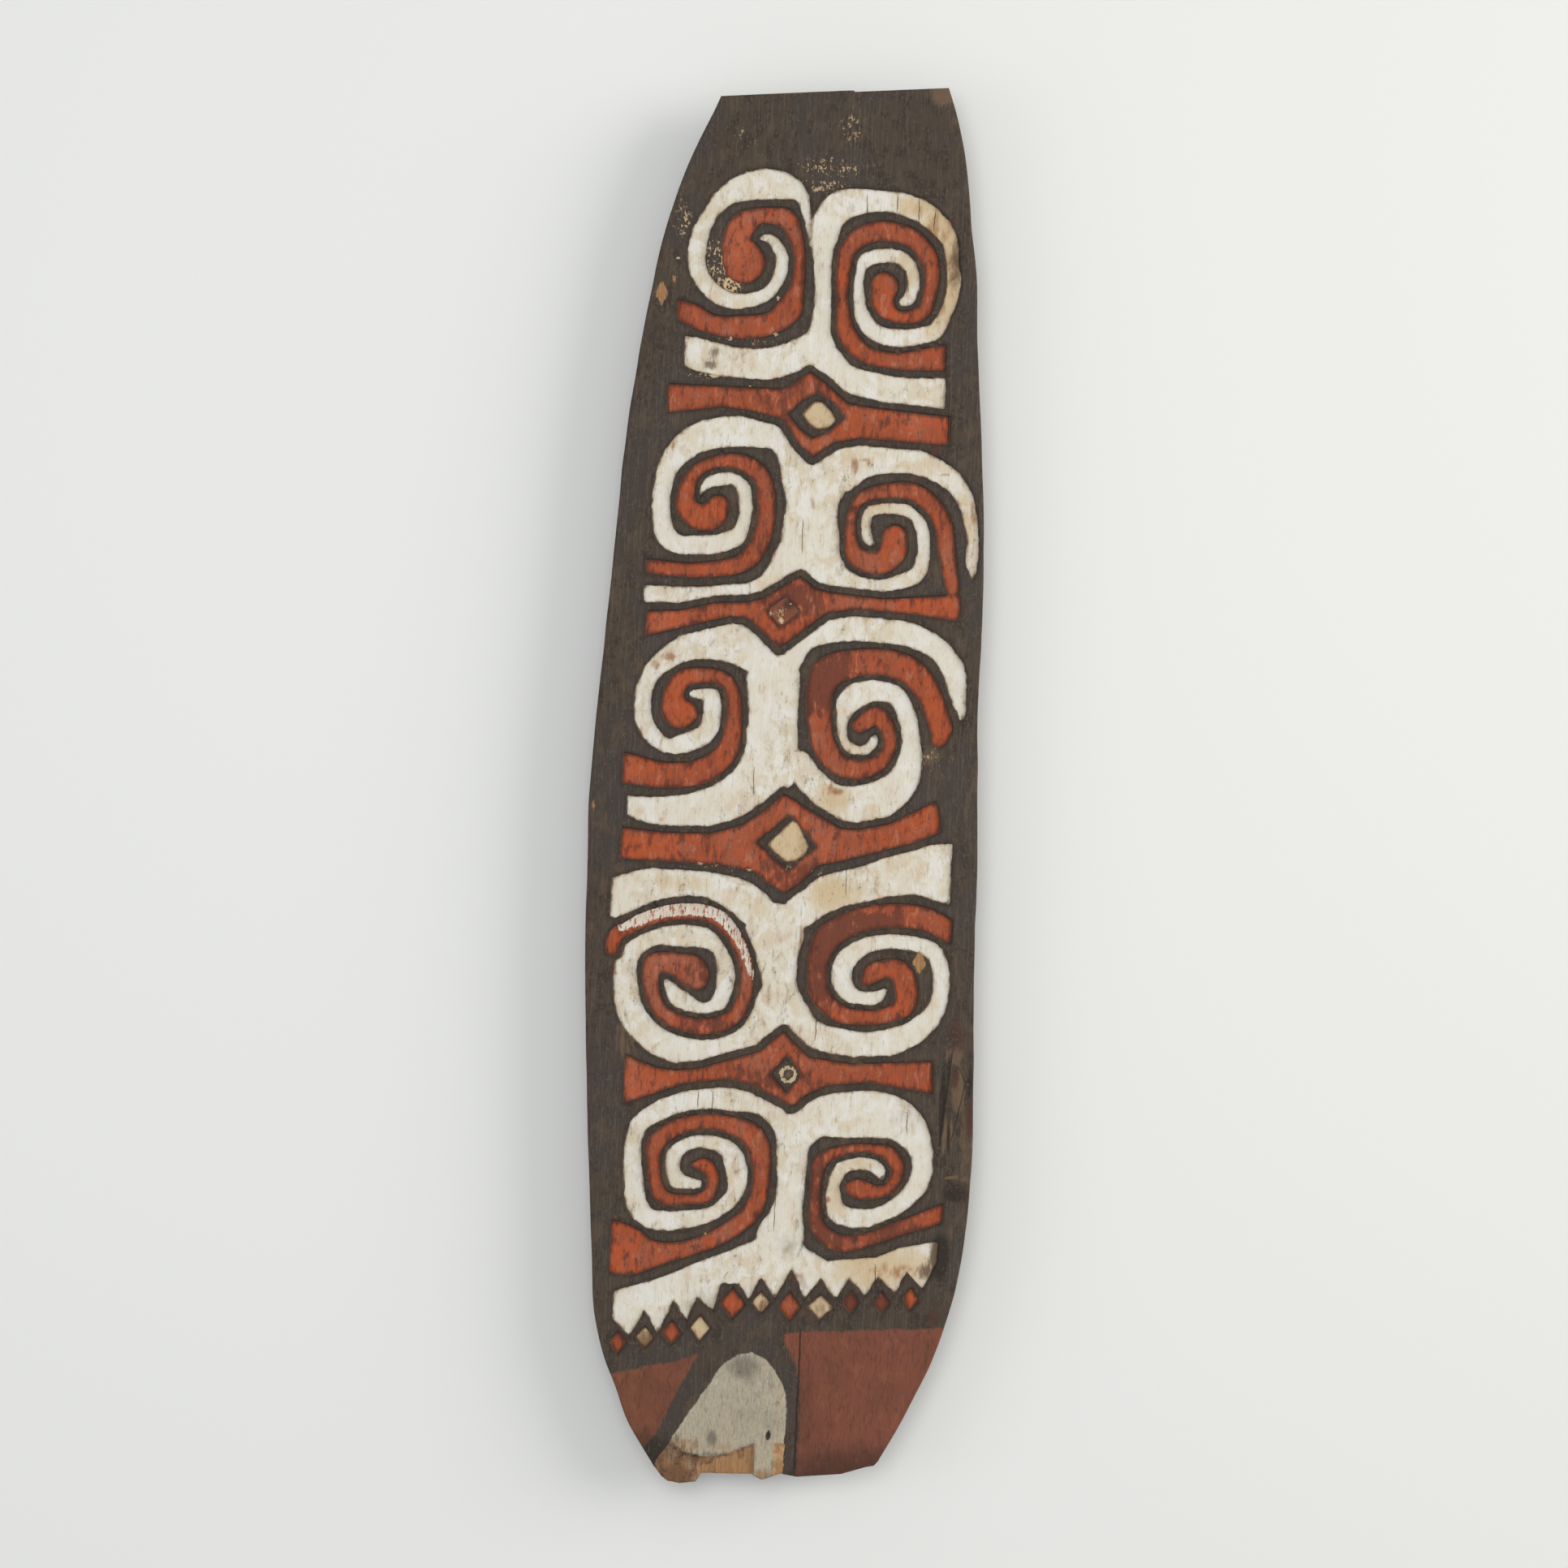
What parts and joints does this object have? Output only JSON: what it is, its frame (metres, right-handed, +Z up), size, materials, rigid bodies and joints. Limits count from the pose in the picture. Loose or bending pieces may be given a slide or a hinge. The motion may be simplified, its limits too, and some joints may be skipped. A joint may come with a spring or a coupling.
{
  "type": "asmat shield",
  "caption": "Tall carved wooden war shield, painted with red and white scrolls on black, with a handle cut from the same plank on its back.",
  "frame": {"origin": "middle of the board's outline, on the surface that it lies on", "axes": "+Z up out of the painted face, +Y towards the narrow straight-cut top end, +X to the right of the painted face"},
  "size_m": [0.499, 1.749, 0.072],
  "materials": {
    "painted_wood": "matt soot black, red ochre and lime white earth paints on hand-carved wood, worn"
  },
  "bodies": {
    "root": {"shield": "painted_wood"}
  },
  "joints": []
}
